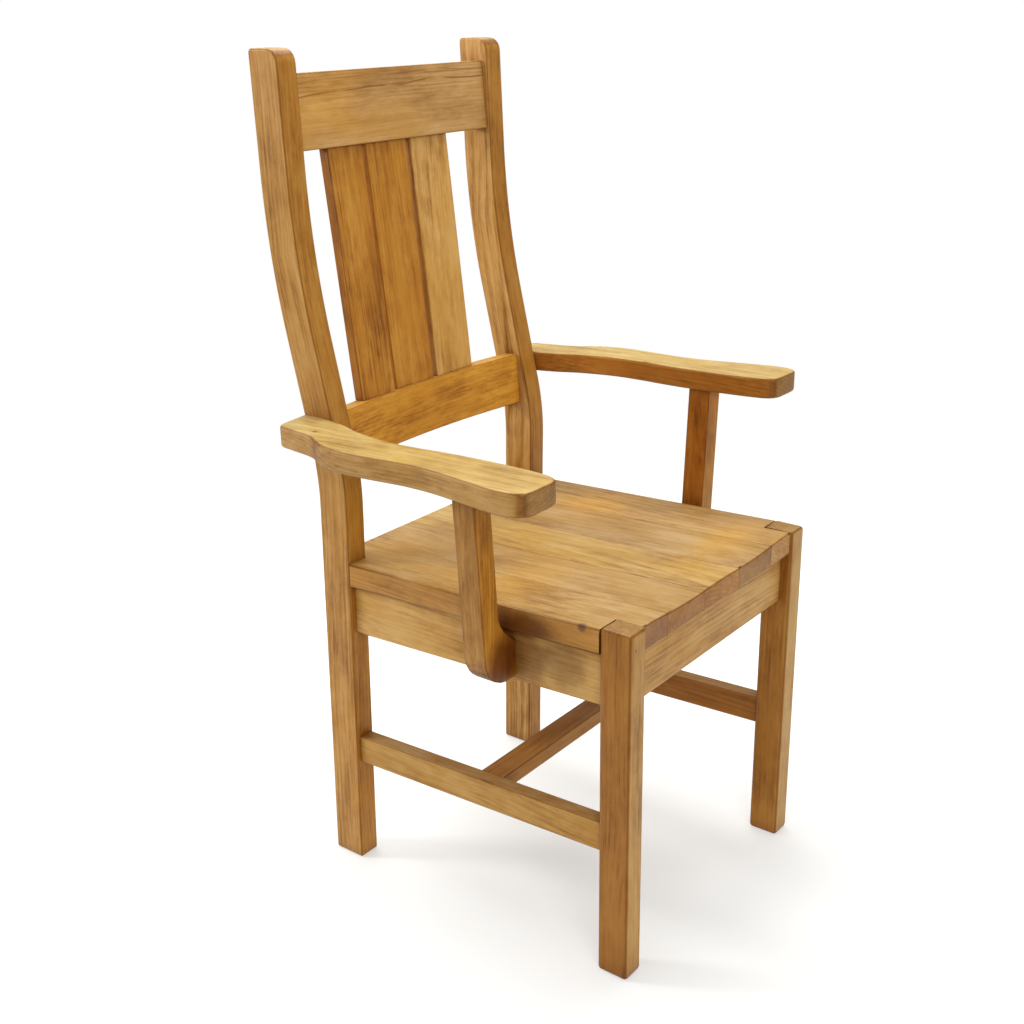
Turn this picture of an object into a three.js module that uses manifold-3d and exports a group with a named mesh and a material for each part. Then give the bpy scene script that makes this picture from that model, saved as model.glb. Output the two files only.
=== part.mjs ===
// A wooden armchair with a tall slatted back, a solid glued-up seat and sculpted flat arms.
// Millimetres, +Z up. The sitter faces -Y, so +X is the sitter's left.
// While it is drawn, y = 0 is the front face of the front legs; the last lines centre the chair.

import * as THREE from 'three';
import { mergeVertices } from 'three/addons/utils/BufferGeometryUtils.js';
import Module from 'manifold-3d';

const wasm = await Module();
wasm.setup();

// ---------------------------------------------------------------- driving dimensions

const FIT = 0.3;                    // clearance left at every joint face
const FALL = 0.039;                 // seat, aprons and stretchers drop this much per mm to the rear
const ARM_FALL = 0.019;             // the arms drop more gently

const HALF_WIDTH = 209;             // outer faces of legs, posts and seat
const LEG = { thick: 33, deep: 42, high: 460 };
const POST = { thick: 32, deep: 48, high: 1067 };
// Front face of a rear post in side view: foot, knee, shoulder, top, and how far each bend reaches.
const POST_LINE = [[436.8, 0], [424.5, 555], [486.2, 828], [493.4, POST.high]];
const POST_BENDS = [42, 105];
const POST_TOP_RADII = { front: 17, back: 5 };

const SEAT = { front: 4, rear: 470, top: 460, thick: 31.5, boards: 5 };
// Two shallow hollows with a low ridge between them, fading out at the rear and a little at the front.
const DISH = {
  depth: 6, halfWidth: 166, ridge: 2, ridgeWidth: 45,
  rearFade: [330, 455], frontFade: [0, 120], frontShare: 0.8,
};
const APRON = { thick: 20, bottom: 360.5, inset: 9, front: 15, rear: 440 };
const STRETCHER = { thick: 20, high: 39, top: 206, inset: 7 };
const CROSS = { front: 203, wide: 36, high: 20 };
const SIDE_RAIL_END = 445;          // side rails are drawn to here, inside the rear posts, which trim them

const CREST = { face: 498.4, middle: 993.9, high: 89.4, thick: 21, lean: 4.9 };
const LOWER_RAIL = { face: 446.8, middle: 600, high: 71.6, thick: 21, lean: 3.4, bow: 15 };
// The slats stand a little to the right of the middle, as the sitter sees it.
const SLATS = { widths: [62, 75, 75], gap: 7, centre: -17, thick: 14, bottom: 636, top: 949 };
const SLAT_RECESS = { bottom: 3.6, top: 5.8 };

const ARM = { thick: 28, top: 641.5 };
// Plan of an arm as (x, y) points: forward along its inner edge, then back along its outer edge.
const ARM_INNER_EDGE = [
  [216, 412], [229, 374], [238, 325], [238, 280], [234, 230], [233, 175], [235, 120], [238, 92],
];
const ARM_OUTER_EDGE = [
  [311, 112], [304, 155], [296, 205], [294, 250], [298, 300], [299, 345], [290, 382], [276, 408],
];
const ARM_POST = { front: 167, deep: 33, foot: 358, shoulder: 409, top: 609.4 };
// Front view of an arm post as (x, z) points, from the foot up.
const ARM_POST_OUTER = { toe: [218, 358], heel: [257, 396], seat: [260.5, 455], top: 271 };
const ARM_POST_INNER = { shoulder: [213, 420], seat: [229.5, 447], top: 241 };

const BLOCK = { reach: 60, high: 30 };
const DOWEL = { radius: 4, from: 192.5, to: 232.5, depths: [454, 476] };
const SCREW = { head: 4.2, rim: 0.6, cone: 3.2, shank: 2.1, point: 6, length: 44 };
const SCREW_CROSS = { half: 2.4, halfWide: 0.5, deep: 1.6 };
const SEAT_SCREW = { inset: 24, sunk: 0.8, y: { front: 62, rear: 413 } };
const ARM_POST_SCREW = { sunk: 0.6, z: { lower: 376, upper: 397 } };

// Tenons. Heights are those at the front legs, from which the rails fall.
const APRON_TENON = {
  cheek: 5.5, z: [373, 416], inLeg: [31, 60], inPost: [410, 443.5],
  front: { x: [160, 196], y: [20.5, 29.5] }, rear: { x: [160, 195], y: [445.5, 454.5] },
};
const STRETCHER_TENON = { x: [187, 197], z: [173, 200], inLeg: [22, 60], inPost: [410, 453] };
const CROSS_TENON = { x: [160, 190], y: [209, 233], z: [191, 201] };
const CREST_TENON = { x: [160, 196], y: [5.5, 15.5], z: [-34, 34] };
const LOWER_RAIL_TENON = { x: [170, 190], y: [5.5, 15.5], z: [-25, 25] };
const SLAT_TENON = { side: 6, cheek: 4, halfLength: 169 };
const ARM_POST_TENON = { x: [248, 264], y: [175, 192], z: [590, 628] };

const INNER_LEG = HALF_WIDTH - LEG.thick;
const INNER_POST = HALF_WIDTH - POST.thick;
const APRON_FACE = HALF_WIDTH - APRON.inset;
const APRON_BACK = APRON_FACE - APRON.thick;
const SEAT_UNDER = SEAT.top - SEAT.thick;

// ---------------------------------------------------------------- solids and materials

function solid(geometry) {
  const bare = geometry.clone();
  bare.deleteAttribute('normal');
  bare.deleteAttribute('uv');
  const merged = mergeVertices(bare, 1e-4);
  const mesh = new wasm.Mesh({
    numProp: 3,
    vertProperties: new Float32Array(merged.attributes.position.array),
    triVerts: new Uint32Array(merged.index.array),
  });
  return new wasm.Manifold(mesh);
}

function toGeometry(body) {
  const mesh = body.getMesh();
  const geometry = new THREE.BufferGeometry();
  geometry.setAttribute('position', new THREE.BufferAttribute(mesh.vertProperties, 3));
  geometry.setIndex(new THREE.BufferAttribute(mesh.triVerts, 1));
  geometry.computeVertexNormals();
  return geometry;
}

const cut = (body, ...tools) => tools.reduce((rest, tool) => rest.subtract(tool), body);
const join = (body, ...others) => others.reduce((sum, other) => sum.add(other), body);

// The same range on the chosen side of the chair, smallest value first.
const onSide = (side, a, b) => [Math.min(side * a, side * b), Math.max(side * a, side * b)];

function block([x0, x1], [y0, y1], [z0, z1], grow = 0) {
  const size = [x1 - x0, y1 - y0, z1 - z0].map((length) => length + 2 * grow);
  const box = new THREE.BoxGeometry(...size);
  return box.translate((x0 + x1) / 2, (y0 + y1) / 2, (z0 + z1) / 2);
}

// Lowers a geometry in proportion to its distance behind the front legs.
function falling(geometry, rate = FALL) {
  const shear = new THREE.Matrix4().set(1, 0, 0, 0, 0, 1, 0, 0, 0, -rate, 1, 0, 0, 0, 0, 1);
  return geometry.applyMatrix4(shear);
}

const fallingBlock = (x, y, z, grow) => solid(falling(block(x, y, z, grow)));

function extrude(shape, depth, curveSegments = 12) {
  return new THREE.ExtrudeGeometry(shape, { depth, bevelEnabled: false, curveSegments });
}

// A side-view shape (y, z) swept between two x values.
function sweepX(shape, [x0, x1], curveSegments) {
  const turn = new THREE.Matrix4().set(0, 0, 1, x0, 1, 0, 0, 0, 0, 1, 0, 0, 0, 0, 0, 1);
  return extrude(shape, x1 - x0, curveSegments).applyMatrix4(turn);
}

// A front-view shape (x, z) swept between two y values.
function sweepY(shape, [y0, y1], curveSegments) {
  return extrude(shape, y1 - y0, curveSegments).rotateX(Math.PI / 2).translate(0, y1, 0);
}

// Leans a geometry drawn upright about the origin so that its top goes back, then places it.
function leaning(geometry, degrees, y, z) {
  return geometry.rotateX(-THREE.MathUtils.degToRad(degrees)).translate(0, y, z);
}

const WOOD_TONES = {
  frame: 0xb98143,
  back: 0xb57a3c,
  seat: 0xcf9c57,
  arms: 0xc9944f,
  hidden: 0xc8a06a,
};

function wood(tone) {
  return new THREE.MeshStandardMaterial({ color: WOOD_TONES[tone], roughness: 0.48, metalness: 0 });
}

const steel = () => new THREE.MeshStandardMaterial({ color: 0xb9b6ae, roughness: 0.35, metalness: 1 });

const chair = new THREE.Group();

function addPiece(group, name, body, material) {
  const mesh = new THREE.Mesh(toGeometry(body), material);
  mesh.name = name;
  group.add(mesh);
}

const sideName = (side) => (side > 0 ? 'left' : 'right');

// ---------------------------------------------------------------- rear post profile

// A straight-sided line whose inner corners are rounded by curves of the given reach.
function roundedLine(points, reaches) {
  const corners = points.map(([y, z]) => new THREE.Vector2(y, z));
  const path = new THREE.Path();
  path.moveTo(corners[0].x, corners[0].y);
  for (let i = 1; i < corners.length - 1; i += 1) {
    const corner = corners[i];
    const before = corners[i - 1].clone().sub(corner).setLength(reaches[i - 1]).add(corner);
    const after = corners[i + 1].clone().sub(corner).setLength(reaches[i - 1]).add(corner);
    path.lineTo(before.x, before.y);
    path.quadraticCurveTo(corner.x, corner.y, after.x, after.y);
  }
  path.lineTo(corners.at(-1).x, corners.at(-1).y);
  return path;
}

function quarterRound(centre, radius, fromAngle) {
  const steps = 5;
  return Array.from({ length: steps + 1 }, (_, i) => {
    const angle = fromAngle - (Math.PI / 2) * (i / steps);
    return new THREE.Vector2(centre.x + radius * Math.cos(angle), centre.y + radius * Math.sin(angle));
  });
}

function postShape(grow) {
  const face = roundedLine(POST_LINE, POST_BENDS).getPoints(14);
  const top = face.at(-1);
  const rising = face.slice(0, -1);
  const { front, back } = POST_TOP_RADII;
  const frontCentre = new THREE.Vector2(top.x - grow + front, top.y - front + grow);
  const backCentre = new THREE.Vector2(top.x + POST.deep + grow - back, top.y - back + grow);
  return new THREE.Shape([
    ...rising.map((p) => new THREE.Vector2(p.x - grow, p.y === 0 ? -grow : p.y)),
    ...quarterRound(frontCentre, front, Math.PI),
    ...quarterRound(backCentre, back, Math.PI / 2),
    ...rising.reverse().map((p) => new THREE.Vector2(p.x + POST.deep + grow, p.y === 0 ? -grow : p.y)),
  ]);
}

function postSolid(side, grow = 0) {
  const [x0, x1] = onSide(side, INNER_POST, HALF_WIDTH);
  return solid(sweepX(postShape(grow), [x0 - grow, x1 + grow]));
}

function legSolid(side, grow = 0) {
  return solid(block(onSide(side, INNER_LEG, HALF_WIDTH), [0, LEG.deep], [0, LEG.high], grow));
}

// ---------------------------------------------------------------- tenons
// Each tenon runs back into its own rail. Grown by FIT it is the mortise.

const MIDDLE_OF_APRON = [APRON_BACK + APRON_TENON.cheek, APRON_FACE - APRON_TENON.cheek];

const sideApronFrontTenon = (side, grow) =>
  fallingBlock(onSide(side, ...MIDDLE_OF_APRON), APRON_TENON.inLeg, APRON_TENON.z, grow);
const sideApronRearTenon = (side, grow) =>
  fallingBlock(onSide(side, ...MIDDLE_OF_APRON), APRON_TENON.inPost, APRON_TENON.z, grow);
const frontApronTenon = (side, grow) =>
  fallingBlock(onSide(side, ...APRON_TENON.front.x), APRON_TENON.front.y, APRON_TENON.z, grow);
const rearApronTenon = (side, grow) =>
  fallingBlock(onSide(side, ...APRON_TENON.rear.x), APRON_TENON.rear.y, APRON_TENON.z, grow);
const stretcherFrontTenon = (side, grow) =>
  fallingBlock(onSide(side, ...STRETCHER_TENON.x), STRETCHER_TENON.inLeg, STRETCHER_TENON.z, grow);
const stretcherRearTenon = (side, grow) =>
  fallingBlock(onSide(side, ...STRETCHER_TENON.x), STRETCHER_TENON.inPost, STRETCHER_TENON.z, grow);
const crossTenon = (side, grow) =>
  fallingBlock(onSide(side, ...CROSS_TENON.x), CROSS_TENON.y, CROSS_TENON.z, grow);
const crestTenon = (side, grow) =>
  solid(leaning(block(onSide(side, ...CREST_TENON.x), CREST_TENON.y, CREST_TENON.z, grow),
    CREST.lean, CREST.face, CREST.middle));
const lowerRailTenon = (side, grow) =>
  solid(leaning(block(onSide(side, ...LOWER_RAIL_TENON.x), LOWER_RAIL_TENON.y, LOWER_RAIL_TENON.z, grow),
    LOWER_RAIL.lean, LOWER_RAIL.face, LOWER_RAIL.middle));
const armPostTenon = (side, grow) =>
  solid(block(onSide(side, ...ARM_POST_TENON.x), ARM_POST_TENON.y, ARM_POST_TENON.z, grow));

function armDowel(side, depth, grow = 0) {
  const height = ARM.top - ARM.thick / 2 - ARM_FALL * depth;
  const length = DOWEL.to - DOWEL.from + 2 * grow;
  const pin = new THREE.CylinderGeometry(DOWEL.radius + grow, DOWEL.radius + grow, length, 16);
  return solid(pin.rotateZ(Math.PI / 2).translate((side * (DOWEL.from + DOWEL.to)) / 2, depth, height));
}

// ---------------------------------------------------------------- screws

// A countersunk wood screw pointing up +Z with its head face at z = 0.
function screwSolid(grow = 0) {
  const { head, rim, cone, shank, point, length } = SCREW;
  const profile = [
    [0, -grow], [head + grow, -grow], [head + grow, rim], [shank + grow, cone],
    [shank + grow, length - point], [0, length + grow],
  ].map(([radius, z]) => new THREE.Vector2(radius, z));
  const body = solid(new THREE.LatheGeometry(profile, 16).rotateX(Math.PI / 2));
  if (grow > 0) return body;
  const { half, halfWide, deep } = SCREW_CROSS;
  const slots = [
    block([-half, half], [-halfWide, halfWide], [-deep, deep]),
    block([-halfWide, halfWide], [-half, half], [-deep, deep]),
  ];
  return cut(body, ...slots.map(solid));
}

// Places a solid made pointing up +Z, turned to point along x on the given side when `sideways`.
function placed(body, position, sideways = 0) {
  const geometry = toGeometry(body);
  if (sideways) geometry.rotateY((sideways * Math.PI) / 2);
  return solid(geometry.translate(...position));
}

const CORNERS = [1, -1].flatMap((side) => [{ side, end: 'front' }, { side, end: 'rear' }]);

function seatScrew({ side, end }, grow = 0) {
  const y = SEAT_SCREW.y[end];
  const z = SEAT_UNDER - FIT - BLOCK.high - FALL * y;
  return placed(screwSolid(grow), [side * (APRON_BACK - SEAT_SCREW.inset), y, z + SEAT_SCREW.sunk]);
}

function armPostScrew(side, height, grow = 0) {
  const position = [side * (APRON_BACK + ARM_POST_SCREW.sunk), ARM_POST.front + ARM_POST.deep / 2, height];
  return placed(screwSolid(grow), position, side);
}

const armPostScrewHoles = (side) => Object.values(ARM_POST_SCREW.z).map((z) => armPostScrew(side, z, FIT));

// ---------------------------------------------------------------- legs and posts

function frontLeg(side) {
  return cut(legSolid(side), sideApronFrontTenon(side, FIT), frontApronTenon(side, FIT),
    stretcherFrontTenon(side, FIT));
}

function rearPost(side) {
  return cut(postSolid(side), sideApronRearTenon(side, FIT), rearApronTenon(side, FIT),
    stretcherRearTenon(side, FIT), crestTenon(side, FIT), lowerRailTenon(side, FIT),
    ...DOWEL.depths.map((depth) => armDowel(side, depth, FIT)));
}

// ---------------------------------------------------------------- aprons and stretchers

const APRON_HEIGHT = [APRON.bottom, SEAT_UNDER - FIT];

function sideApron(side) {
  const length = [LEG.deep + FIT, SIDE_RAIL_END];
  const board = fallingBlock(onSide(side, APRON_BACK, APRON_FACE), length, APRON_HEIGHT);
  const shouldered = cut(board, postSolid(side, FIT));
  const whole = join(shouldered, sideApronFrontTenon(side), sideApronRearTenon(side));
  return cut(whole, ...armPostScrewHoles(side));
}

function endApron(inner, front, tenon) {
  const half = inner - FIT;
  const board = fallingBlock([-half, half], [front, front + APRON.thick], APRON_HEIGHT);
  return join(board, tenon(1), tenon(-1));
}

function sideStretcher(side) {
  const outer = HALF_WIDTH - STRETCHER.inset;
  const height = [STRETCHER.top - STRETCHER.high, STRETCHER.top];
  const length = [LEG.deep + FIT, SIDE_RAIL_END];
  const bar = fallingBlock(onSide(side, outer - STRETCHER.thick, outer), length, height);
  const shouldered = cut(bar, postSolid(side, FIT));
  const whole = join(shouldered, stretcherFrontTenon(side), stretcherRearTenon(side));
  return cut(whole, crossTenon(side, FIT));
}

function crossStretcher() {
  const half = HALF_WIDTH - STRETCHER.inset - STRETCHER.thick - FIT;
  const depth = [CROSS.front, CROSS.front + CROSS.wide];
  const bar = fallingBlock([-half, half], depth, [STRETCHER.top - CROSS.high, STRETCHER.top]);
  return join(bar, crossTenon(1), crossTenon(-1));
}

// Triangular glue block in a corner of the apron frame, notched around the leg or post.
function cornerBlock(corner) {
  const { side, end } = corner;
  const isFront = end === 'front';
  const wall = isFront ? APRON.front + APRON.thick + FIT : APRON.rear - FIT;
  const away = isFront ? 1 : -1;
  const x = APRON_BACK - FIT;
  const outline = [[x, wall], [x - BLOCK.reach, wall], [x, wall + away * BLOCK.reach]];
  const shape = new THREE.Shape(outline.map(([px, py]) => new THREE.Vector2(side * px, py)));
  const wedge = extrude(shape, BLOCK.high).translate(0, 0, SEAT_UNDER - FIT - BLOCK.high);
  const upright = isFront ? legSolid(side, FIT) : postSolid(side, FIT);
  return cut(solid(falling(wedge)), upright, seatScrew(corner, FIT));
}

// ---------------------------------------------------------------- seat

// Depth of the hollow at a point of the seat: two shallow lobes that run out at the front edge.
function hollow(x, y) {
  const across = Math.min(Math.abs(x) / DISH.halfWidth, 1);
  const lobes = DISH.depth * (1 - across ** 4) ** 2 - DISH.ridge * Math.exp(-((x / DISH.ridgeWidth) ** 2));
  const rise = THREE.MathUtils.smoothstep(y, ...DISH.rearFade);
  const full = THREE.MathUtils.smoothstep(y, ...DISH.frontFade);
  return Math.max(0, lobes) * (1 - rise) * THREE.MathUtils.lerp(DISH.frontShare, 1, full);
}

function seatSlab() {
  const length = SEAT.rear - SEAT.front;
  const slab = new THREE.BoxGeometry(2 * HALF_WIDTH, length, SEAT.thick, 40, 16, 1);
  slab.translate(0, SEAT.front + length / 2, SEAT.top - SEAT.thick / 2);
  const place = slab.attributes.position;
  for (let i = 0; i < place.count; i += 1) {
    if (place.getZ(i) > SEAT.top - 1) place.setZ(i, SEAT.top - hollow(place.getX(i), place.getY(i)));
  }
  const behind = [APRON.rear, SEAT.rear + 1];
  const behindPosts = [1, -1].map((side) =>
    solid(block(onSide(side, INNER_POST - FIT, HALF_WIDTH + 1), behind, [0, POST.high])));
  const uprights = [1, -1].flatMap((side) => [legSolid(side, FIT), postSolid(side, FIT)]);
  const screws = CORNERS.map((corner) => seatScrew(corner, FIT));
  return cut(solid(falling(slab)), ...behindPosts, ...uprights, ...screws);
}

function seatBoard(slab, index) {
  const width = (2 * HALF_WIDTH) / SEAT.boards;
  const start = -HALF_WIDTH + index * width;
  const left = start + (index > 0 ? FIT / 2 : 0);
  const right = start + width - (index < SEAT.boards - 1 ? FIT / 2 : 0);
  return slab.intersect(solid(block([left, right], [0, SEAT.rear + 1], [0, POST.high])));
}

// ---------------------------------------------------------------- back

function crestSolid(grow = 0) {
  const half = INNER_POST - FIT;
  const board = block([-half, half], [0, CREST.thick], [-CREST.high / 2, CREST.high / 2], grow);
  return solid(leaning(board, CREST.lean, CREST.face, CREST.middle));
}

// The lower rail is bowed back in plan: its front and rear faces are parallel curves.
function lowerRailSolid(grow = 0) {
  const half = INNER_POST - FIT;
  const { thick, bow, high } = LOWER_RAIL;
  const plan = new THREE.Shape();
  plan.moveTo(-half, -grow);
  plan.quadraticCurveTo(0, 2 * bow - grow, half, -grow);
  plan.lineTo(half, thick + grow);
  plan.quadraticCurveTo(0, thick + 2 * bow + grow, -half, thick + grow);
  plan.closePath();
  const upright = extrude(plan, high + 2 * grow, 20).translate(0, 0, -high / 2 - grow);
  return solid(leaning(upright, LOWER_RAIL.lean, LOWER_RAIL.face, LOWER_RAIL.middle));
}

const slope = (degrees) => Math.tan(THREE.MathUtils.degToRad(degrees));

function slatPlan(index) {
  const { widths, gap, centre, bottom, top } = SLATS;
  const spread = widths.reduce((sum, width) => sum + width + gap, -gap);
  const before = widths.slice(0, index).reduce((sum, width) => sum + width + gap, 0);
  const x = centre - spread / 2 + before + widths[index] / 2;
  const bow = LOWER_RAIL.bow * (1 - (x / INNER_POST) ** 2);
  const railFace = LOWER_RAIL.face + slope(LOWER_RAIL.lean) * (bottom - LOWER_RAIL.middle) + bow;
  const crestFace = CREST.face + slope(CREST.lean) * (top - CREST.middle);
  const [foot, head] = [railFace + SLAT_RECESS.bottom, crestFace + SLAT_RECESS.top];
  const lean = THREE.MathUtils.radToDeg(Math.atan2(head - foot, top - bottom));
  return { x, lean, y: (foot + head) / 2, z: (bottom + top) / 2 };
}

// A bar centred on the slat's own axis, used for the slat, its tenons and their mortises.
function slatBar(index, width, back, halfLength, grow = 0) {
  const { x, lean, y, z } = slatPlan(index);
  const bar = block([x - width / 2, x + width / 2], back, [-halfLength, halfLength], grow);
  return solid(leaning(bar, lean, y, z));
}

function slatTenons(index, grow) {
  const { side, cheek, halfLength } = SLAT_TENON;
  return slatBar(index, SLATS.widths[index] - 2 * side, [cheek, SLATS.thick - cheek], halfLength, grow);
}

function backSlat(index) {
  const board = slatBar(index, SLATS.widths[index], [0, SLATS.thick], SLAT_TENON.halfLength - 5);
  return join(cut(board, crestSolid(FIT), lowerRailSolid(FIT)), slatTenons(index));
}

const slatIndexes = SLATS.widths.map((_, i) => i);

function rail(body, tenon) {
  const mortises = slatIndexes.map((index) => slatTenons(index, FIT));
  return join(cut(body, ...mortises), tenon(1), tenon(-1));
}

// ---------------------------------------------------------------- arms and arm posts

// Plan of an arm: flat against the post, bulging out in front of it, waisted, then a wide rounded front.
function armShape(side) {
  const along = (points) => points.map(([x, y]) => new THREE.Vector2(side * x, y));
  const contact = HALF_WIDTH + FIT;
  const shape = new THREE.Shape();
  shape.moveTo(side * contact, 490);
  shape.lineTo(side * contact, 442);
  shape.splineThru(along(ARM_INNER_EDGE));
  shape.quadraticCurveTo(side * 241, 70, side * 258, 68.5);
  shape.lineTo(side * 288, 68);
  shape.quadraticCurveTo(side * 308, 68, side * 311, 88);
  shape.splineThru(along(ARM_OUTER_EDGE));
  shape.quadraticCurveTo(side * 270, 422, side * 268, 440);
  shape.lineTo(side * 262, 474);
  shape.quadraticCurveTo(side * 260, 483, side * 250, 485);
  shape.closePath();
  return shape;
}

function arm(side) {
  const board = extrude(armShape(side), ARM.thick, 5).translate(0, 0, ARM.top - ARM.thick);
  return cut(solid(falling(board, ARM_FALL)), armPostTenon(side, FIT),
    ...DOWEL.depths.map((depth) => armDowel(side, depth, FIT)));
}

// Front view of an arm post: it leans out to the arm and kicks in below the seat to meet the apron.
function armPostShape(side) {
  const at = (x, z) => [side * x, z];
  const contact = APRON_FACE + FIT;
  const { foot, shoulder, top } = ARM_POST;
  const { toe, heel, seat: outerSeat } = ARM_POST_OUTER;
  const { shoulder: knee, seat: innerSeat } = ARM_POST_INNER;
  const shape = new THREE.Shape();
  shape.moveTo(...at(contact + 7, foot));
  shape.lineTo(...at(...toe));
  shape.quadraticCurveTo(...at(251, foot + 8), ...at(...heel));
  shape.lineTo(...at(...outerSeat));
  shape.lineTo(...at(ARM_POST_OUTER.top, top));
  shape.lineTo(...at(ARM_POST_INNER.top, top));
  shape.lineTo(...at(...innerSeat));
  shape.quadraticCurveTo(...at(227.5, knee[1] + 11), ...at(...knee));
  shape.lineTo(...at(contact, shoulder));
  shape.lineTo(...at(contact, foot + 7));
  shape.quadraticCurveTo(...at(contact, foot), ...at(contact + 7, foot));
  return shape;
}

// Side view of the same post, with its lower corners rounded.
function armPostSideShape() {
  const { front, deep, foot, top } = ARM_POST;
  const rear = front + deep;
  const [frontRound, rearRound] = [5, 12];
  const shape = new THREE.Shape();
  shape.moveTo(front + frontRound, foot);
  shape.lineTo(rear - rearRound, foot);
  shape.quadraticCurveTo(rear, foot, rear, foot + rearRound);
  shape.lineTo(rear, top);
  shape.lineTo(front, top);
  shape.lineTo(front, foot + frontRound);
  shape.quadraticCurveTo(front, foot, front + frontRound, foot);
  return shape;
}

function armPost(side) {
  const depth = [ARM_POST.front - 5, ARM_POST.front + ARM_POST.deep + 5];
  const faces = solid(sweepY(armPostShape(side), depth, 6));
  const edges = solid(sweepX(armPostSideShape(), onSide(side, APRON_BACK, ARM_POST_OUTER.top + 5), 5));
  const whole = join(faces.intersect(edges), armPostTenon(side));
  return cut(whole, ...armPostScrewHoles(side));
}

// ---------------------------------------------------------------- assembly

const baseFrame = new THREE.Group();
const seat = new THREE.Group();
const backrest = new THREE.Group();
const arms = new THREE.Group();
chair.add(baseFrame, seat, backrest, arms);

for (const side of [1, -1]) {
  const name = sideName(side);
  addPiece(baseFrame, `${name}_front_leg`, frontLeg(side), wood('frame'));
  addPiece(baseFrame, `${name}_rear_post`, rearPost(side), wood('frame'));
  addPiece(baseFrame, `${name}_side_apron`, sideApron(side), wood('frame'));
  addPiece(baseFrame, `${name}_side_stretcher`, sideStretcher(side), wood('frame'));
  addPiece(arms, `${name}_arm`, arm(side), wood('arms'));
  addPiece(arms, `${name}_arm_post`, armPost(side), wood('frame'));
  DOWEL.depths.forEach((depth, i) => {
    addPiece(arms, `${name}_arm_dowel_${i + 1}`, armDowel(side, depth), wood('hidden'));
  });
  for (const [place, z] of Object.entries(ARM_POST_SCREW.z)) {
    addPiece(arms, `${name}_arm_post_screw_${place}`, armPostScrew(side, z), steel());
  }
}

addPiece(baseFrame, 'front_apron', endApron(INNER_LEG, APRON.front, frontApronTenon), wood('frame'));
addPiece(baseFrame, 'rear_apron', endApron(INNER_POST, APRON.rear, rearApronTenon), wood('frame'));
addPiece(baseFrame, 'cross_stretcher', crossStretcher(), wood('frame'));

for (const corner of CORNERS) {
  const name = `${sideName(corner.side)}_${corner.end}`;
  addPiece(seat, `${name}_corner_block`, cornerBlock(corner), wood('hidden'));
  addPiece(seat, `${name}_seat_screw`, seatScrew(corner), steel());
}

const slab = seatSlab();
for (let i = 0; i < SEAT.boards; i += 1) {
  addPiece(seat, `seat_board_${i + 1}`, seatBoard(slab, i), wood('seat'));
}

addPiece(backrest, 'crest_rail', rail(crestSolid(), crestTenon), wood('back'));
addPiece(backrest, 'lower_back_rail', rail(lowerRailSolid(), lowerRailTenon), wood('back'));
for (const index of slatIndexes) {
  addPiece(backrest, `back_slat_${index + 1}`, backSlat(index), wood('back'));
}

// The chair stands on z = 0 with the middle of its depth at y = 0.
chair.position.y = -(POST_LINE.at(-1)[0] + POST.deep) / 2;

export default chair;
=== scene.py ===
"""Looks for a wooden armchair: eased edges, satin wood with grain, a pale floor and soft studio light.

Every wooden piece is the CAD node's own mesh with its outer edges eased, in metres. +Z is up and the
sitter faces -Y.
"""

import random
from math import radians

import bmesh
import bpy
from mathutils import Matrix, Vector
from mathutils.bvhtree import BVHTree


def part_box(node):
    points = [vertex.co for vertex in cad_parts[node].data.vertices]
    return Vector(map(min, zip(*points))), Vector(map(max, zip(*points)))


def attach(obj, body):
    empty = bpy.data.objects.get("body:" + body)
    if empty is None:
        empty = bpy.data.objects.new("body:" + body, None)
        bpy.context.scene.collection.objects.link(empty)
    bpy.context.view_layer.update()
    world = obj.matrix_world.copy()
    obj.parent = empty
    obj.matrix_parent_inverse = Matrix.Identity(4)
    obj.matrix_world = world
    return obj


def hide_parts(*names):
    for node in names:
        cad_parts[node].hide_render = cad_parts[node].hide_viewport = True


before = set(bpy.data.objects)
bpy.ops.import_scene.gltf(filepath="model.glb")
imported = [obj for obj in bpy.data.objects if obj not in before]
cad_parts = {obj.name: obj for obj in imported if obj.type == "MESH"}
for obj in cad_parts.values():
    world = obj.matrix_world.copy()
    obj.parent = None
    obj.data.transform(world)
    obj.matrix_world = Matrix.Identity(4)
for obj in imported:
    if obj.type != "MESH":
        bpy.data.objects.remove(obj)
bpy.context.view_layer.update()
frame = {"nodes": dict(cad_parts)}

MM = 0.001

# ---------------------------------------------------------------- camera

CAMERA_PLACE = (-1.35593, -1.00393, 1.11523)
CAMERA_HEADING = -52.034        # degrees round +Z from looking along +Y
CAMERA_PITCH = -20.4695
CAMERA_ROLL = -1.003
CAMERA_LENS = 48.27


def add_camera():
    data = bpy.data.cameras.new("camera")
    data.sensor_width = 36
    data.lens = CAMERA_LENS
    camera = bpy.data.objects.new("camera", data)
    turn = (
        Matrix.Rotation(radians(CAMERA_HEADING), 4, "Z")
        @ Matrix.Rotation(radians(90 + CAMERA_PITCH), 4, "X")
        @ Matrix.Rotation(radians(CAMERA_ROLL), 4, "Z")
    )
    camera.matrix_world = Matrix.Translation(CAMERA_PLACE) @ turn
    bpy.context.scene.collection.objects.link(camera)
    bpy.context.scene.camera = camera


# ---------------------------------------------------------------- node helpers


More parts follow.
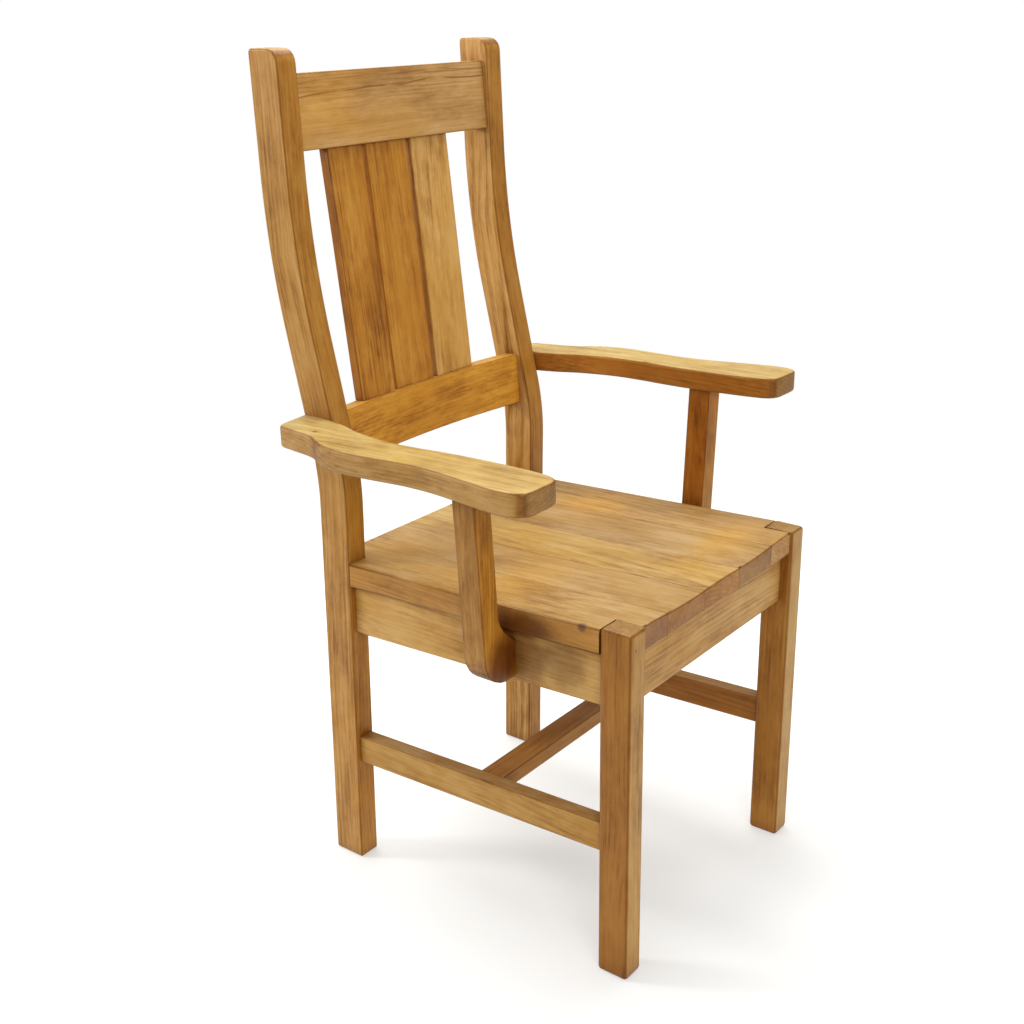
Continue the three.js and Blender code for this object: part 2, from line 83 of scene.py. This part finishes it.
class Graph:
    """Adds nodes to a node tree and links whatever socket is given as an input value."""

    def __init__(self, tree):
        self.tree = tree

    def node(self, kind, inputs=(), **settings):
        made = self.tree.nodes.new(kind)
        for key, value in settings.items():
            setattr(made, key, value)
        for key, value in dict(inputs).items():
            self.set(made.inputs[key], value)
        return made

    def set(self, socket, value):
        if isinstance(value, bpy.types.NodeSocket):
            self.tree.links.new(value, socket)
        else:
            socket.default_value = value

    def math(self, operation, *values, clamp=False):
        made = self.node("ShaderNodeMath", enumerate(values), operation=operation, use_clamp=clamp)
        return made.outputs[0]

    def vector(self, operation, *values):
        made = self.node("ShaderNodeVectorMath", enumerate(values), operation=operation)
        return made.outputs["Value" if operation in ("LENGTH", "DOT_PRODUCT") else "Vector"]

    def combine(self, value):
        return self.node("ShaderNodeCombineXYZ", {"X": value, "Y": value, "Z": value}).outputs[0]

    def noise(self, place, scale, detail=2.0, rough=0.5):
        stretched = self.vector("MULTIPLY", place, scale)
        inputs = {"Vector": stretched, "Scale": 1.0, "Detail": detail, "Roughness": rough}
        return self.node("ShaderNodeTexNoise", inputs).outputs

    def between(self, value, low, high, to_low=0.0, to_high=1.0, smooth=True):
        inputs = {"Value": value, "From Min": low, "From Max": high, "To Min": to_low, "To Max": to_high}
        kind = "SMOOTHSTEP" if smooth else "LINEAR"
        return self.node("ShaderNodeMapRange", inputs, interpolation_type=kind).outputs["Result"]

    def ramp(self, factor, stops):
        made = self.node("ShaderNodeValToRGB", {"Fac": factor})
        stones = made.color_ramp.elements
        while len(stones) < len(stops):
            stones.new(0.5)
        for stone, (place, color) in zip(stones, stops):
            stone.position = place
            stone.color = (*color, 1.0)
        return made.outputs["Color"]

    def mix(self, factor, a, b, blend="MIX"):
        made = self.node("ShaderNodeMix", data_type="RGBA", blend_type=blend)
        self.set(made.inputs[0], factor)
        self.set(made.inputs[6], a if isinstance(a, bpy.types.NodeSocket) else (*a, 1.0))
        self.set(made.inputs[7], b if isinstance(b, bpy.types.NodeSocket) else (*b, 1.0))
        return made.outputs[2]


# ---------------------------------------------------------------- wood

GRAIN_TURNS = {"X": (0, radians(-90), 0), "Y": (radians(90), 0, 0), "Z": (0, 0, 0)}
RING_SPACING = 0.0052


def wood_figure():
    """Node group: a place inside a log, with Z along the grain, to how dark the wood is there."""
    tree = bpy.data.node_groups.new("wood_figure", "ShaderNodeTree")
    for name, kind, way in (
        ("Place", "NodeSocketVector", "INPUT"),
        ("Figure", "NodeSocketFloat", "OUTPUT"),
        ("Tone", "NodeSocketFloat", "OUTPUT"),
        ("Fibre", "NodeSocketFloat", "OUTPUT"),
        ("Pores", "NodeSocketFloat", "OUTPUT"),
        ("Streak", "NodeSocketFloat", "OUTPUT"),
    ):
        tree.interface.new_socket(name, in_out=way, socket_type=kind)
    g = Graph(tree)
    place = g.node("NodeGroupInput").outputs["Place"]
    sway = g.noise(place, (3.5, 3.5, 1.6), detail=1.0)["Color"]
    swayed = g.vector("MULTIPLY_ADD", sway, (0.035, 0.035, 0.0), place)
    ripple = g.noise(place, (26.0, 26.0, 7.0), detail=2.0)["Color"]
    wavy = g.vector("MULTIPLY_ADD", ripple, (0.0055, 0.0055, 0.0), swayed)
    flat = g.vector("MULTIPLY", wavy, (1.0, 1.0, 0.0))
    radius = g.vector("LENGTH", flat)
    phase = g.math("FRACT", g.math("DIVIDE", radius, RING_SPACING))
    ring = g.ramp(phase, [(0.0, (0.1,) * 3), (0.45, (0.3,) * 3), (0.86, (1.0,) * 3), (1.0, (0.1,) * 3)])
    strength = g.between(g.noise(wavy, (16.0, 16.0, 1.1))["Fac"], 0.35, 0.7, 0.15, 1.0)
    rings = g.math("MULTIPLY", ring, strength)
    bands = g.noise(wavy, (95.0, 95.0, 4.5), detail=4.0, rough=0.6)["Fac"]
    fibre = g.noise(wavy, (380.0, 380.0, 9.0), detail=3.0, rough=0.65)["Fac"]
    mottle = g.noise(wavy, (110.0, 110.0, 45.0), detail=4.0, rough=0.65)["Fac"]
    tone = g.noise(place, (10.0, 10.0, 3.4), detail=3.0, rough=0.55)["Fac"]
    pores = g.between(g.noise(place, (1500.0, 1500.0, 34.0), detail=1.0)["Fac"], 0.6, 0.74)
    streak = g.between(g.noise(wavy, (150.0, 150.0, 1.7), detail=2.0)["Fac"], 0.60, 0.74)
    cloud = g.noise(place, (24.0, 24.0, 13.0), detail=4.0, rough=0.55)["Fac"]
    figure = g.math("MULTIPLY", rings, 0.28)
    for layer, weight in ((bands, 0.26), (fibre, 0.28), (mottle, 0.18), (cloud, 0.28)):
        figure = g.math("ADD", figure, g.between(layer, 0.3, 0.7, 0.0, weight))
    out = g.node("NodeGroupOutput")
    for name, value in (("Figure", figure), ("Tone", tone), ("Fibre", fibre), ("Pores", pores),
                        ("Streak", streak)):
        g.set(out.inputs[name], value)
    return tree


# Colours of the wood itself.
LIGHT = (0.53, 0.280, 0.072)
MIDDLE = (0.42, 0.190, 0.036)
DARK = (0.19, 0.066, 0.010)
WARM = (0.43, 0.180, 0.016)
END_LIGHT = (0.36, 0.185, 0.060)
END_DARK = (0.21, 0.092, 0.030)
KNOT = (0.11, 0.040, 0.026)

# Colours that the wood is multiplied by.
PLAIN = (1.0, 1.0, 1.0)
EDGE_DARK_AND_CORNER_SHADE = (0.46, 0.27, 0.09)      # darker along eased edges, and painted shade in corners
SHADE_AND_STAIN = (0.26, 0.13, 0.03)      # darker patches, partly painted shade and partly dark stain
PAINTED_SHEEN = (1.20, 1.04, 0.33)       # painted sheen, lighter and more golden

MEAN_FIGURE = 0.58              # the figure is steered round its mean, to a tone a little on the light side
MEAN_TONE = 0.45
EDGE_TURN = (0.97, 0.80)        # largest part of the normal, from a flat face to the middle of an eased edge
EDGE_DARKENING = 0.75
CORNER_REACH = 0.04
CORNER_OPEN = (0.25, 0.92)      # openness from a tight corner to an open face
CORNER_SHADE = 0.8
KNOT_REACH = 3.2                # how far the grain bends round a knot, in knot radii
KNOT_PUSH = -0.55
LINE_SWAY = 0.03


def wood(name, grain, figure, tints_and_light, contrast=1.0, streaks=0.25, knots=(), bends=(), lines=(), shade_stains=(),
         sheens=()):
    """A satin oiled wood whose grain runs along one axis of the chair.

    The tints are for faces towards +X, -X, +-Y and +-Z. They are partly painted light and shade, with tops
    painted lighter with sheen and faces that lie in shade painted darker, and partly the wood's own tone,
    because flat-sawn and edge-grain faces differ.
    Each knot is (middle, radius). Each bend is (axis, low, high, shift): between those heights the grain
    moves over along that axis. Each line is a long dark mark across X: (slope, height, half width,
    strength). Each dark patch, partly painted shade and partly dark stain, and each patch of painted
    sheen is a soft patch: (middle, reach, strength).
    """
    made = bpy.data.materials.new(name)
    made.use_nodes = True
    made.node_tree.nodes.clear()
    g = Graph(made.node_tree)
    draw = random.Random(name)
    coordinates = g.node("ShaderNodeTexCoord").outputs
    place = coordinates["Object"]
    knot_dark = 0.0
    pushed = place
    height_above = g.node("ShaderNodeSeparateXYZ", {0: place}).outputs["Z"]
    for axis, low, high, shift in bends:
        over = g.between(height_above, low, high, 0.0, -shift, smooth=False)
        pushed = g.vector("ADD", pushed, g.node("ShaderNodeCombineXYZ", {axis: over}).outputs[0])
    for centre, size in knots:
        away = g.vector("SUBTRACT", place, centre)
        distance = g.vector("LENGTH", away)
        near = g.between(distance, 0.0, size * KNOT_REACH, 1.0, 0.0)
        bulge = g.math("MULTIPLY", g.math("POWER", near, 2.0), KNOT_PUSH)
        shift = g.node("ShaderNodeVectorMath", {0: away, "Scale": bulge}, operation="SCALE").outputs[0]
        pushed = g.vector("ADD", pushed, shift)
        core = g.between(distance, size * 0.35, size, 1.0, 0.0)
        knot_dark = g.math("MAXIMUM", knot_dark, core)
    turned = g.node("ShaderNodeMapping", {
        "Vector": pushed,
        "Rotation": GRAIN_TURNS[grain],
        "Location": (draw.uniform(0.05, 0.11) * draw.choice((-1, 1)) + draw.uniform(-1, 1) * 0.02,
                     draw.uniform(0.05, 0.11) * draw.choice((-1, 1)),
                     draw.uniform(-9, 9)),
    }).outputs["Vector"]
    wood_parts = g.node("ShaderNodeGroup", {"Place": turned}, node_tree=figure).outputs
    off_mean = g.math("SUBTRACT", wood_parts["Figure"], MEAN_FIGURE)
    steered = g.math("MULTIPLY_ADD", off_mean, contrast, MEAN_TONE)
    toned = g.math("ADD", steered, g.between(wood_parts["Tone"], 0.3, 0.7, -0.2, 0.2, smooth=False))
    color = g.ramp(toned, [(0.05, LIGHT), (0.5, MIDDLE), (1.0, DARK)])
    warm = g.between(g.noise(turned, (15.0, 15.0, 6.0), detail=2.0)["Fac"], 0.45, 0.7, 0.0, 0.45)
    color = g.mix(warm, color, WARM)
    color = g.mix(g.math("MULTIPLY", wood_parts["Streak"], streaks), color, DARK)
    color = g.mix(g.math("MULTIPLY", wood_parts["Pores"], 0.35), color, DARK)
    for slope, level, half, strength in lines:
        wobble = g.noise(place, (6.0, 6.0, 6.0), detail=2.0, rough=0.35)["Fac"]
        offset = g.math("SUBTRACT", g.vector("DOT_PRODUCT", place, (-slope, 0.0, 1.0)), level)
        offset = g.math("MULTIPLY_ADD", g.math("SUBTRACT", wobble, 0.5), LINE_SWAY, offset)
        shade = g.between(g.math("ABSOLUTE", offset), 0.0, half, strength, 0.0)
        broken = g.between(g.noise(place, (17.0, 17.0, 17.0))["Fac"], 0.34, 0.52)
        color = g.mix(g.math("MULTIPLY", shade, broken), color, DARK)
    normal = g.node("ShaderNodeSeparateXYZ", {0: coordinates["Normal"]}).outputs
    facing = g.math("ABSOLUTE", normal[grain])
    end = g.ramp(toned, [(0.1, END_LIGHT), (0.8, END_DARK)])
    color = g.mix(g.between(facing, 0.6, 0.85, 0.0, 0.85), color, end)
    # Soft patches: darker ones of painted shade with dark stain, and lighter golden ones of painted sheen.
    for patches, hue, scale, ragged, inside, outside in ((shade_stains, SHADE_AND_STAIN, 38.0, 0.5, 0.6, 1.3),
                                                         (sheens, PAINTED_SHEEN, 22.0, 0.8, 0.5, 1.4)):
        for centre, reach, strength in patches:
            away = g.vector("LENGTH", g.vector("DIVIDE", g.vector("SUBTRACT", place, centre), reach))
            rim = g.math("MULTIPLY_ADD", g.noise(place, (scale,) * 3)["Fac"], ragged, away)
            color = g.mix(g.between(rim, inside, outside, strength, 0.0), color, hue, blend="MULTIPLY")
    if knots:
        color = g.mix(g.math("MULTIPLY", knot_dark, 0.8), color, KNOT)
    # Tint by the way a face points: partly painted light and shade, partly the wood's own tone.
    rightward = g.math("MAXIMUM", normal["X"], 0.0)
    leftward = g.math("MINIMUM", normal["X"], 0.0)
    tint_and_light = (0.0, 0.0, 0.0)
    for share, hue in zip((rightward, leftward, normal["Y"], normal["Z"]), tints_and_light):
        tint_and_light = g.vector("MULTIPLY_ADD", g.combine(g.math("MULTIPLY", share, share)), hue, tint_and_light)
    color = g.mix(1.0, color, tint_and_light, blend="MULTIPLY")
    # Darker along the eased edges, where the normal turns between faces.
    sizes = [g.math("ABSOLUTE", normal[axis]) for axis in "XYZ"]
    widest = g.math("MAXIMUM", g.math("MAXIMUM", sizes[0], sizes[1]), sizes[2])
    edge = g.between(widest, EDGE_TURN[0], EDGE_TURN[1], 0.0, EDGE_DARKENING)
    color = g.mix(edge, color, EDGE_DARK_AND_CORNER_SHADE, blend="MULTIPLY")
    # Painted shade: darker in tight corners, where the ambient occlusion finds the surface closed in.
    corner = g.node("ShaderNodeAmbientOcclusion", {"Distance": CORNER_REACH}, samples=6).outputs["AO"]
    color = g.mix(g.between(corner, *CORNER_OPEN, CORNER_SHADE, 0.0), color, EDGE_DARK_AND_CORNER_SHADE, blend="MULTIPLY")
    rough = g.between(wood_parts["Fibre"], 0.25, 0.75, 0.40, 0.56, smooth=False)
    height = g.math("SUBTRACT", g.math("MULTIPLY", wood_parts["Fibre"], 0.6), wood_parts["Pores"])
    bump = g.node("ShaderNodeBump", {"Height": height, "Strength": 0.16, "Distance": 0.0004})
    shader = g.node("ShaderNodeBsdfPrincipled", {
        "Base Color": color,
        "Roughness": rough,
        "Normal": bump.outputs["Normal"],
        "Coat Weight": 0.05,
        "Coat Roughness": 0.3,
        "Specular IOR Level": 0.35,
        "Specular Tint": (1.0, 0.76, 0.42, 1.0),
    })
    g.node("ShaderNodeOutputMaterial", {"Surface": shader.outputs[0]})
    return made


def steel():
    made = bpy.data.materials.new("plated_steel")
    made.use_nodes = True
    g = Graph(made.node_tree)
    made.node_tree.nodes.clear()
    place = g.node("ShaderNodeTexCoord").outputs["Object"]
    scratches = g.noise(place, (900.0, 900.0, 900.0))["Fac"]
    shader = g.node("ShaderNodeBsdfPrincipled", {
        "Base Color": g.ramp(scratches, [(0.3, (0.5, 0.49, 0.46)), (0.7, (0.62, 0.6, 0.56))]),
        "Roughness": g.between(scratches, 0.3, 0.7, 0.28, 0.42),
        "Metallic": 1.0,
    })
    g.node("ShaderNodeOutputMaterial", {"Surface": shader.outputs[0]})
    return made


# ---------------------------------------------------------------- eased edges

JOINT_EASE = 0.35 * MM      # where two pieces meet flush
EASE_SEGMENTS = 3
SHARP = radians(28)         # edges turn at least this much
COVER_REACH = 2.2 * MM      # an edge with a neighbour this close outside it is hidden
FACE_REACH = 1.2 * MM       # and with one this close beside it, it is part of a joint
WELD = 0.01 * MM
SLIVER = 0.1 * MM
# Faces that lie this flat to each other are one face. The hollows of the seat keep finer facets.
FLAT = radians(0.4)
SEAT_FLAT = radians(0.05)
# Rays that lie along no face of the chair. Two out of three decide, in case one grazes an edge.
RAYS = [
    Vector(way).normalized()
    for way in ((0.137, 0.291, 0.947), (-0.411, 0.233, -0.881), (0.733, -0.529, 0.427))
]
RAY_STEP = 1e-6


class Neighbours:
    """Tells whether a point is inside any CAD node other than one."""

    def __init__(self, nodes):
        self.trees = {}
        for name, obj in nodes.items():
            points = [v.co.copy() for v in obj.data.vertices]
            faces = [list(p.vertices) for p in obj.data.polygons]
            low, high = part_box(name)
            self.trees[name] = (BVHTree.FromPolygons(points, faces), low, high)

    def cover(self, point, own):
        for name, (tree, low, high) in self.trees.items():
            if name == own or any(point[i] < low[i] or point[i] > high[i] for i in range(3)):
                continue
            if sum(self.crossings(tree, point, ray) % 2 for ray in RAYS) >= 2:
                return True
        return False

    @staticmethod
    def crossings(tree, start, ray):
        count = 0
        while True:
            hit, _, _, _ = tree.ray_cast(start, ray)
            if hit is None:
                return count
            count += 1
            start = hit + ray * RAY_STEP


def eased(node, ease, neighbours, flat):
    """A copy of a CAD node's mesh whose outer edges are rounded over. Edges hidden in joints stay crisp."""
    source = frame["nodes"][node]
    mesh = bmesh.new()
    mesh.from_mesh(source.data)
    bmesh.ops.remove_doubles(mesh, verts=mesh.verts, dist=WELD)
    bmesh.ops.dissolve_limit(mesh, angle_limit=flat, verts=mesh.verts, edges=mesh.edges, delimit={"NORMAL"})
    mesh.normal_update()
    weights = mesh.edges.layers.float.new("bevel_weight_edge")
    for edge in mesh.edges:
        if len(edge.link_faces) != 2 or edge.calc_face_angle_signed(0.0) < SHARP:
            continue
        a, b = (face.normal for face in edge.link_faces)
        middle = (edge.verts[0].co + edge.verts[1].co) / 2
        if neighbours.cover(middle + (a + b).normalized() * COVER_REACH, node):
            continue
        joint = neighbours.cover(middle + a * FACE_REACH - b * FACE_REACH, node) or neighbours.cover(
            middle + b * FACE_REACH - a * FACE_REACH, node)
        edge[weights] = JOINT_EASE / ease if joint else 1.0
    for face in mesh.faces:
        face.smooth = True
    data = bpy.data.meshes.new(node + "_eased")
    mesh.to_mesh(data)
    mesh.free()
    data.set_sharp_from_angle(angle=SHARP)
    piece = bpy.data.objects.new(node + "_eased", data)
    bpy.context.scene.collection.objects.link(piece)
    bevel = piece.modifiers.new("eased", "BEVEL")
    bevel.limit_method = "WEIGHT"
    bevel.width = ease
    bevel.segments = EASE_SEGMENTS
    bevel.harden_normals = True
    bevel.use_clamp_overlap = False
    bevel.loop_slide = False
    rounded = bpy.data.meshes.new_from_object(piece.evaluated_get(bpy.context.evaluated_depsgraph_get()))
    piece.modifiers.remove(bevel)
    piece.data = rounded
    # Nothing may stand outside the CAD surface or its box.
    surface, low, high = neighbours.trees[node]
    for vertex in rounded.vertices:
        foot, outward, _, _ = surface.find_nearest(vertex.co)
        point = foot if (vertex.co - foot).dot(outward) > 0 else vertex.co
        vertex.co = [min(max(point[i], low[i]), high[i]) for i in range(3)]
    mesh = bmesh.new()
    mesh.from_mesh(rounded)
    bmesh.ops.dissolve_degenerate(mesh, dist=SLIVER, edges=mesh.edges)
    mesh.to_mesh(rounded)
    mesh.free()
    return piece


# ---------------------------------------------------------------- pieces

# node ending: grain axis, edge easing in mm
WOODEN = {
    "front_leg": ("Z", 5.0),
    "rear_post": ("Z", 3.0),
    "side_apron": ("Y", 1.6),
    "side_stretcher": ("Y", 1.8),
    "front_apron": ("X", 1.6),
    "rear_apron": ("X", 1.6),
    "cross_stretcher": ("X", 1.8),
    "arm": ("Y", 3.6),
    "arm_post": ("Z", 3.0),
    "crest_rail": ("X", 1.8),
    "lower_back_rail": ("X", 1.8),
    "back_slat": ("Z", 2.0),
    "seat_board": ("Y", 3.0),
}
HIDDEN_WOOD = ("corner_block", "arm_dowel")
HIDDEN_TINT = (1.15, 1.3, 1.8)

# Kind, or one node, to tints for its outer, inner, front or rear, and upper or lower faces. The tints are
# partly painted light and shade (lighter sheen on tops, darker shaded faces), partly each face's own tone.
FACE_TINTS_AND_LIGHT = {
    "front_leg": ((0.61, 0.50, 0.31), (0.67, 0.56, 0.33), (0.92, 1.01, 1.21), (0.86, 0.93, 0.81)),
    "rear_post": ((0.88, 0.91, 1.00), (0.96, 1.06, 1.39), (0.85, 0.77, 0.50), (1.12, 1.34, 1.45)),
    "side_apron": ((0.98, 1.11, 1.39), (0.98, 1.11, 1.39), (0.98, 1.11, 1.39), (0.98, 1.11, 1.39)),
    "side_stretcher": ((0.83, 0.91, 0.98), (0.56, 0.41, 0.20), (0.73, 0.74, 0.86), (0.80, 0.91, 1.40)),
    "arm": ((0.85, 1.00, 1.46), (0.75, 0.57, 0.30), (0.91, 0.94, 0.85), (0.98, 1.41, 2.20)),
    "arm_post": ((0.69, 0.67, 0.63), (0.70, 0.48, 0.20), (1.00, 0.90, 0.51), (0.80, 0.68, 0.45)),
    "crest_rail": ((1.15, 1.35, 2.20), (1.15, 1.35, 2.20), (1.15, 1.35, 2.20), (1.15, 1.35, 2.20)),
    "lower_back_rail": ((1.30, 1.23, 0.55), (1.30, 1.23, 0.55), (1.30, 1.23, 0.55), (1.10, 1.20, 0.90)),
    "front_apron": ((1.05, 1.17, 1.51), (1.05, 1.17, 1.51), (1.05, 1.17, 1.51), (1.05, 1.17, 1.51)),
    "cross_stretcher": ((0.78, 0.71, 0.63), (0.78, 0.71, 0.63), (0.72, 0.62, 0.34), (0.84, 0.80, 0.92)),
    "back_slat_1": ((0.67, 0.53, 0.27), (0.67, 0.53, 0.27), (1.03, 0.93, 0.57), (0.79, 0.66, 0.37)),
    "back_slat_2": ((1.36, 1.28, 0.61), (1.36, 1.28, 0.61), (1.02, 0.90, 0.49), (1.25, 1.15, 0.57)),
    "back_slat_3": ((1.29, 1.49, 1.96), (1.29, 1.49, 1.96), (1.29, 1.49, 1.96), (1.29, 1.49, 1.96)),
    "seat_board_1": ((0.85, 0.86, 0.92), (0.85, 0.86, 0.92), (0.82, 0.71, 0.73), (0.85, 1.07, 1.70)),
    "seat_board_2": ((0.91, 0.95, 1.20), (0.91, 0.95, 1.20), (1.00, 0.88, 0.74), (0.82, 1.02, 1.66)),
    "seat_board_3": ((1.08, 1.18, 1.39), (1.08, 1.18, 1.39), (1.20, 1.08, 0.68), (0.96, 1.28, 2.09)),
    "seat_board_4": ((0.89, 0.99, 1.46), (0.89, 0.99, 1.46), (0.96, 0.95, 0.97), (0.81, 1.04, 1.94)),
    "seat_board_5": ((1.37, 1.62, 2.06), (1.37, 1.62, 2.06), (1.55, 1.65, 1.60), (0.87, 1.10, 1.92)),
}
# The grain follows the sweep of the rear posts and the lean of the slats.
BENDS = {
    "rear_post": (("Y", 0.0, 0.555, -0.0123), ("Y", 0.555, 0.828, 0.0617), ("Y", 0.828, 1.067, 0.0072)),
    "back_slat": (("Y", 0.636, 0.949, 0.038),),
}
LINES = {
    "crest_rail": ((0.03, 1.0125, 0.0016, 0.9), (0.01, 1.0255, 0.0013, 0.6)),
}
CONTRAST = 1.25
CONTRASTS = {"crest_rail": 0.85, "back_slat": 1.4, "arm": 1.0, "seat_board": 1.05}
STREAK = 0.25
STREAKS = {"crest_rail": 0.1}
KNOTS = {
    "right_arm": (((-0.256, 0.152, 0.633), 0.0045),),
    "seat_board_1": (((-0.209, -0.205, 0.455), 0.0080),),
    "right_front_leg": (((-0.1985, -0.2707, 0.440), 0.0025),),
    "back_slat_2": (((0.012, 0.19, 0.90), 0.0040),),
}
# Kind to lighter golden patches of painted sheen: middle, reach and strength. Those of the seat lie in
# its hollows.
SHEEN_PATCHES = {
    "seat_board": (
        ((0.10, -0.205, 0.455), (0.12, 0.060, 0.03), 0.50), ((0.15, 0.02, 0.445), (0.06, 0.09, 0.03), 0.6),
        ((-0.09, -0.06, 0.45), (0.10, 0.07, 0.03), 0.40), ((-0.12, 0.13, 0.44), (0.08, 0.07, 0.03), 0.35),
    ),
    "crest_rail": (((-0.13, 0.24, 1.0), (0.09, 0.06, 0.05), 0.45),),
}
# Kind to soft dark patches, partly painted shade and partly dark stain, on the sitter's left side,
# mirrored on the right: middle, reach and strength. They lie where the foot of an arm post meets the
# apron and the edge of the seat, where shade falls.
SHADE_AND_STAIN_PATCHES = {
    "arm_post": (((0.222, -0.1037, 0.388), (0.040, 0.030, 0.048), 0.9),),
    "side_apron": (
        ((0.200, -0.116, 0.392), (0.020, 0.048, 0.050), 0.7),
        ((0.200, -0.175, 0.400), (0.020, 0.040, 0.045), 0.55),
    ),
    "seat_board": (((0.209, -0.126, 0.430), (0.014, 0.055, 0.030), 0.9),),
}
INNER_BOARDS = ("seat_board_2", "seat_board_3", "seat_board_4")


def kind_of(node):
    bare = node.rstrip("0123456789").rstrip("_")
    return next(k for k in sorted(WOODEN, key=len, reverse=True) if bare == k or bare.endswith("_" + k))


def tints_and_light_of(node, kind):
    outer, inner, end, top = FACE_TINTS_AND_LIGHT.get(node, FACE_TINTS_AND_LIGHT.get(kind, (PLAIN,) * 4))
    return (inner, outer, end, top) if node.startswith("right_") else (outer, inner, end, top)


def shade_stains_of(node, kind):
    if node in INNER_BOARDS:
        return ()
    side = -1 if node.startswith("right_") or node == "seat_board_1" else 1
    patches = SHADE_AND_STAIN_PATCHES.get(kind, ())
    return tuple(((side * x, y, z), reach, strength) for (x, y, z), reach, strength in patches)


def dress():
    figure = wood_figure()
    metal = steel()
    neighbours = Neighbours(frame["nodes"])
    for node in sorted(frame["nodes"]):
        cad = frame["nodes"][node]
        if "screw" in node:
            cad.data.materials.clear()
            cad.data.materials.append(metal)
            continue
        if any(word in node for word in HIDDEN_WOOD):
            cad.data.materials.clear()
            cad.data.materials.append(wood(node + "_wood", "X", figure, (HIDDEN_TINT,) * 4))
            continue
        kind = kind_of(node)
        grain, ease = WOODEN[kind]
        piece = eased(node, ease * MM, neighbours, SEAT_FLAT if kind == "seat_board" else FLAT)
        piece.data.materials.clear()
        piece.data.materials.append(wood(
            node + "_wood", grain, figure, tints_and_light_of(node, kind), contrast=CONTRASTS.get(kind, CONTRAST),
            streaks=STREAKS.get(node, STREAK), knots=KNOTS.get(node, ()), bends=BENDS.get(kind, ()),
            lines=LINES.get(node, ()), shade_stains=shade_stains_of(node, kind), sheens=SHEEN_PATCHES.get(kind, ()),
        ))
        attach(piece, "root")
        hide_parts(node)


# ---------------------------------------------------------------- studio

FLOOR_RADIUS = 3.4
FLOOR_FADE = (0.9, 2.6)     # the floor goes over into the white of the studio between these radii
FLOOR_DROP = 0.0005         # keeps the floor clear of the feet
FLOOR_COLOR = (0.565, 0.56, 0.545, 1.0)
FLOOR_GLOW_COLOR = (0.985, 1.0, 0.995, 1.0)
FLOOR_GLOW = 0.43
AMBIENT = 0.5


def add_floor():
    mesh = bmesh.new()
    bmesh.ops.create_circle(mesh, cap_ends=True, radius=FLOOR_RADIUS, segments=96)
    data = bpy.data.meshes.new("floor")
    mesh.to_mesh(data)
    mesh.free()
    floor = bpy.data.objects.new("floor", data)
    floor.location.z = -FLOOR_DROP
    bpy.context.scene.collection.objects.link(floor)
    made = bpy.data.materials.new("floor_paper")
    made.use_nodes = True
    made.node_tree.nodes.clear()
    g = Graph(made.node_tree)
    place = g.node("ShaderNodeTexCoord").outputs["Object"]
    away = g.vector("LENGTH", place)
    paper = g.node("ShaderNodeBsdfPrincipled", {
        "Base Color": FLOOR_COLOR, "Roughness": 0.9, "Specular IOR Level": 0.0,
        "Emission Color": FLOOR_GLOW_COLOR, "Emission Strength": FLOOR_GLOW}).outputs[0]
    clear = g.node("ShaderNodeBsdfTransparent").outputs[0]
    blend = g.node("ShaderNodeMixShader", {0: g.between(away, *FLOOR_FADE), 1: paper, 2: clear})
    g.node("ShaderNodeOutputMaterial", {"Surface": blend.outputs[0]})
    floor.data.materials.append(made)


def add_light(name, place, target, size, power):
    data = bpy.data.lights.new(name, "AREA")
    data.shape = "DISK"
    data.size = size
    data.energy = power
    lamp = bpy.data.objects.new(name, data)
    aim = Vector(target) - Vector(place)
    lamp.matrix_world = Matrix.Translation(place) @ aim.to_track_quat("-Z", "Y").to_matrix().to_4x4()
    bpy.context.scene.collection.objects.link(lamp)


def add_studio():
    world = bpy.data.worlds.new("studio")
    world.use_nodes = True
    g = Graph(world.node_tree)
    world.node_tree.nodes.clear()
    seen = g.node("ShaderNodeLightPath").outputs["Is Camera Ray"]
    sky = g.node("ShaderNodeBackground", {
        "Color": (1.0, 1.0, 1.0, 1.0), "Strength": g.between(seen, 0.0, 1.0, AMBIENT, 1.0, smooth=False)})
    g.node("ShaderNodeOutputWorld", {"Surface": sky.outputs[0]})
    bpy.context.scene.world = world
    bpy.context.scene.view_settings.view_transform = "Standard"
    add_light("overhead", (0.3, 0.5, 2.6), (0, 0, 0.4), 2.4, 72)
    add_light("key", (-1.9, -2.3, 1.9), (0, 0, 0.5), 1.4, 34)
    add_light("side", (-1.3, 1.9, 1.5), (0, 0, 0.2), 0.5, 26)


add_camera()
dress()
add_floor()
add_studio()
